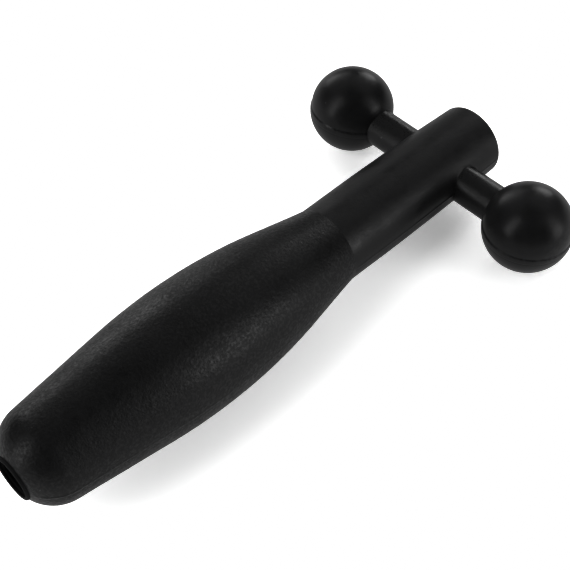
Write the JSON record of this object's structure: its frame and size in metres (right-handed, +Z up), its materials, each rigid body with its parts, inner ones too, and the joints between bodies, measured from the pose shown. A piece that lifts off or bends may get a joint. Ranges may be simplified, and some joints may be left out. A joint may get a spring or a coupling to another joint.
{
  "type": "reflex hammer",
  "caption": "Neurological reflex hammer with a bulb-shaped textured rubber grip, a slim neck and a crossbar that carries a rubber striking ball at each end.",
  "frame": {"origin": "on the table, under the middle of the hammer's box, as it lies at rest on the bulb and both balls", "axes": "+X from the butt towards the head, +Y towards the left ball, +Z up; the handle's axis dips 3.09 degrees towards the head about Y"},
  "size_m": [0.1686, 0.0952, 0.0362],
  "materials": {
    "textured_rubber": "matt, fine grained",
    "smooth_rubber": "satin",
    "ball_rubber": "smooth satin",
    "ferrule_plastic": "dull, as moulded",
    "core_nylon": "as moulded",
    "turned_steel": "turned",
    "fastener_steel": "zinc plated",
    "insert_brass": "turned"
  },
  "bodies": {
    "root": {"grip_sleeve": "textured_rubber", "neck_sleeve": "smooth_rubber", "crossbar_sleeve_left": "smooth_rubber", "crossbar_sleeve_right": "smooth_rubber", "ball_left": "ball_rubber", "ball_right": "ball_rubber", "butt_ferrule": "ferrule_plastic", "handle_core": "core_nylon", "butt_screw": "fastener_steel", "lock_washer": "fastener_steel", "butt_washer": "fastener_steel", "spine_lock_nut": "fastener_steel", "head_set_screw": "fastener_steel", "spine_rod": "turned_steel", "head_block": "turned_steel", "crossbar_rod": "turned_steel", "ball_insert_left": "insert_brass", "ball_insert_right": "insert_brass"}
  },
  "joints": []
}
